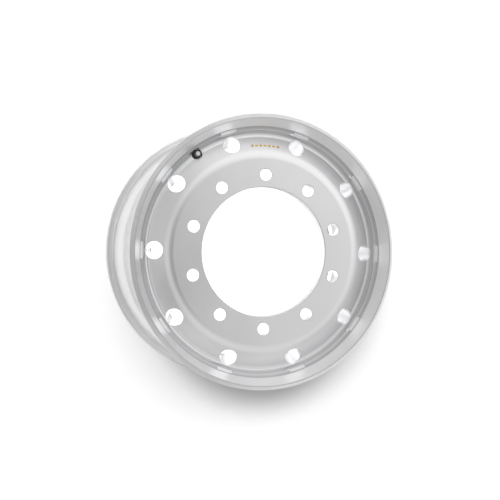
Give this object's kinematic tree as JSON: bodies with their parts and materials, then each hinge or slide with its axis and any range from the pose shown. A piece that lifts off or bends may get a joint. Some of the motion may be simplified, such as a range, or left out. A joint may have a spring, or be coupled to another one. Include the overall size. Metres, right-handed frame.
{
  "type": "alloy truck wheel",
  "caption": "Wide one-piece forged alloy truck wheel with a drop-centre rim, a flat stud disc around a large spigot bore, round hand holes and a tubeless valve.",
  "frame": {"origin": "centre of the mounting face that meets the hub, on the wheel's axis", "axes": "+Z along the wheel's axis towards the outboard face, +X through the middle of a hand hole, the valve 126 degrees round from +X"},
  "size_m": [0.5968, 0.5968, 0.326],
  "materials": {
    "bright_alloy": "turned and brushed bright",
    "nickel_plate": "nickel plated",
    "seal_rubber": "matte",
    "zinc_steel": "zinc plated",
    "black_nut": "black coated",
    "core_brass": "plain"
  },
  "bodies": {
    "root": {"wheel": "bright_alloy", "valve_stem": "nickel_plate", "stem_seal": "seal_rubber", "nut_washer": "zinc_steel", "valve_nut": "black_nut", "valve_core": "core_brass", "core_gasket": "seal_rubber", "valve_cap": "nickel_plate", "cap_seal": "seal_rubber"}
  },
  "joints": []
}
